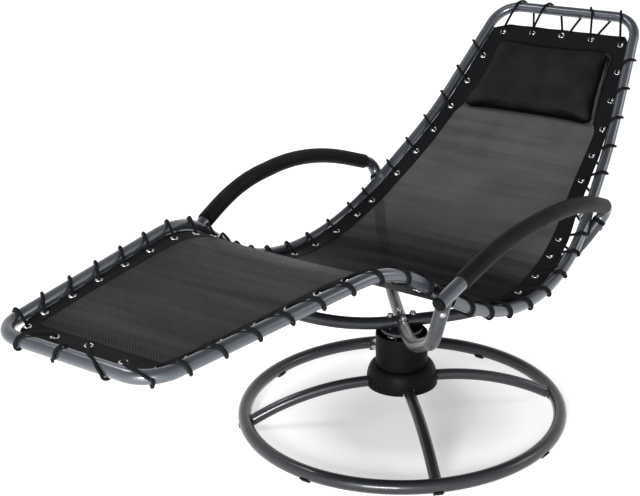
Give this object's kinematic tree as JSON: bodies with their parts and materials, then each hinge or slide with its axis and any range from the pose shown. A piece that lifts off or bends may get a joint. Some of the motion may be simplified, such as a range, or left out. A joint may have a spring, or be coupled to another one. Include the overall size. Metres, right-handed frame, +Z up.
{
  "type": "rocking sun lounger",
  "caption": "Rocking, swivelling sun lounger: laced mesh sling and pillow on a bent tube frame with padded arm rests, crossing bows, a drum hub and a round floor ring.",
  "frame": {"origin": "on the swivel axis at the floor, under the middle of the floor ring", "axes": "+Z up, +X towards the head end, -X towards the foot end, +Y to the sitter's right"},
  "size_m": [1.7571, 0.7412, 0.8124],
  "materials": {
    "frame_tube": "metallic slate grey powder coat",
    "base_tube": "darker gunmetal powder coat",
    "black_plastic": "moulded satin black",
    "bush_plastic": "natural nylon",
    "arm_foam": "matt closed-cell foam",
    "bright_steel": "zinc plated",
    "black_steel": "black zinc plated",
    "eyelet_metal": "bright nickel",
    "elastic_cord": "braided cover",
    "mesh_cloth": "coated woven mesh",
    "pillow_cloth": "dense woven cover"
  },
  "bodies": {
    "base": {"floor_ring": "base_tube", "floor_glides": "black_plastic", "spoke_1": "base_tube", "spoke_2": "base_tube", "spoke_3": "base_tube", "spoke_4": "base_tube", "hub_tube": "base_tube", "swivel_bush": "bush_plastic", "hub_skirt": "black_plastic"},
    "swivel": {"spindle": "bright_steel", "spindle_clip": "bright_steel", "drum": "black_plastic", "yoke": "base_tube", "yoke_screws": "bright_steel", "pivot_pin": "bright_steel", "pin_clip": "bright_steel", "rock_spring_front": "bright_steel", "rock_spring_rear": "bright_steel"},
    "seat": {"rocker_plate": "base_tube", "rocker_bolts": "black_steel", "cross_bow_long": "frame_tube", "cross_bow_front": "frame_tube", "cross_bow_rear": "frame_tube", "bow_bolts": "bright_steel", "arm_tube_left": "frame_tube", "arm_tube_right": "frame_tube", "joint_sleeve_left": "black_plastic", "joint_sleeve_right": "black_plastic", "arm_foam_left": "arm_foam", "arm_foam_right": "arm_foam", "arm_cap_left": "black_plastic", "arm_cap_right": "black_plastic", "arm_spacers": "black_plastic", "rail_bolts": "black_steel", "leg_frame": "frame_tube", "seat_rail_left": "frame_tube", "seat_rail_right": "frame_tube", "back_frame": "frame_tube", "sling": "mesh_cloth", "eyelets_left": "eyelet_metal", "eyelets_right": "eyelet_metal", "eyelets_head": "eyelet_metal", "eyelets_foot": "eyelet_metal", "lacing_left": "elastic_cord", "lacing_right": "elastic_cord", "lacing_head": "elastic_cord", "lacing_foot": "elastic_cord", "pillow": "pillow_cloth"}
  },
  "joints": [
    {"name": "swivel", "type": "hinge", "parent": "base", "child": "swivel", "pos_m": [0, 0, 0.1], "axis": [0, 0, 1], "continuous": true},
    {"name": "rock", "type": "hinge", "parent": "swivel", "child": "seat", "pos_m": [0, 0, 0.19], "axis": [0, 1, 0], "range_deg": [-8, 8], "stiffness_Nm_per_rad": 180, "springref_deg": 0.25, "deforming": ["rock_spring_front", "rock_spring_rear"]}
  ]
}
